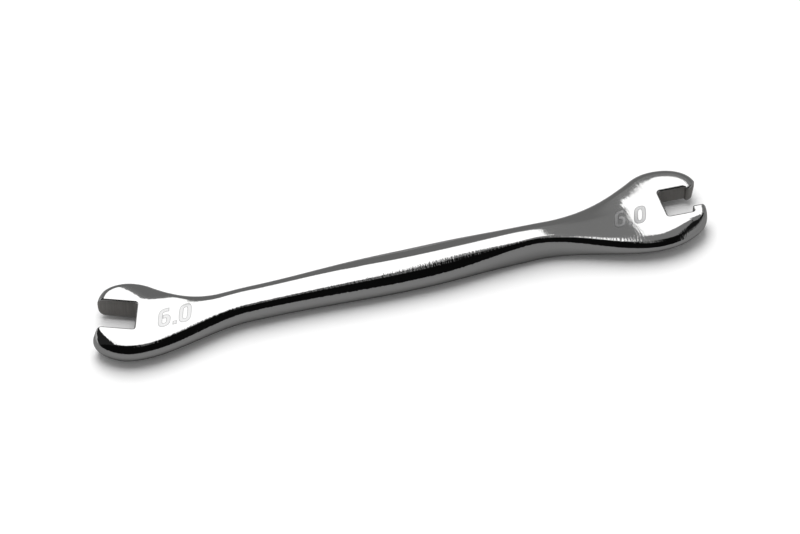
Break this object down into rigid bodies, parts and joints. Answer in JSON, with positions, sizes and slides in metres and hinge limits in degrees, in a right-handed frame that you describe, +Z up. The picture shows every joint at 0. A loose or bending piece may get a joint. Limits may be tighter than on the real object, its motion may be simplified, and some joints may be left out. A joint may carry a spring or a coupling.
{
  "type": "spoke wrench",
  "caption": "Slim forged spoke wrench in polished chrome: an open jaw at the left end, a hooked jaw at the right end and a waisted handle between them.",
  "frame": {"origin": "under the middle of the wrench's length and width, at the level of the surface that it lies on", "axes": "+X along the handle from the open jaw to the hooked jaw; +Z up, square to the flat faces of the heads; +Y to the far side in the picture"},
  "size_m": [0.1101, 0.0178, 0.0064],
  "materials": {
    "chrome": "polished chrome plate over a forged and ground surface, with a faint ripple from the polishing",
    "machined": "satin: the walls of both jaws, machined after forging and plated without polishing",
    "marking": "frosted: the size numbers, marked by laser in the polished faces of both heads"
  },
  "bodies": {
    "root": {"wrench_body": "chrome"}
  },
  "joints": []
}
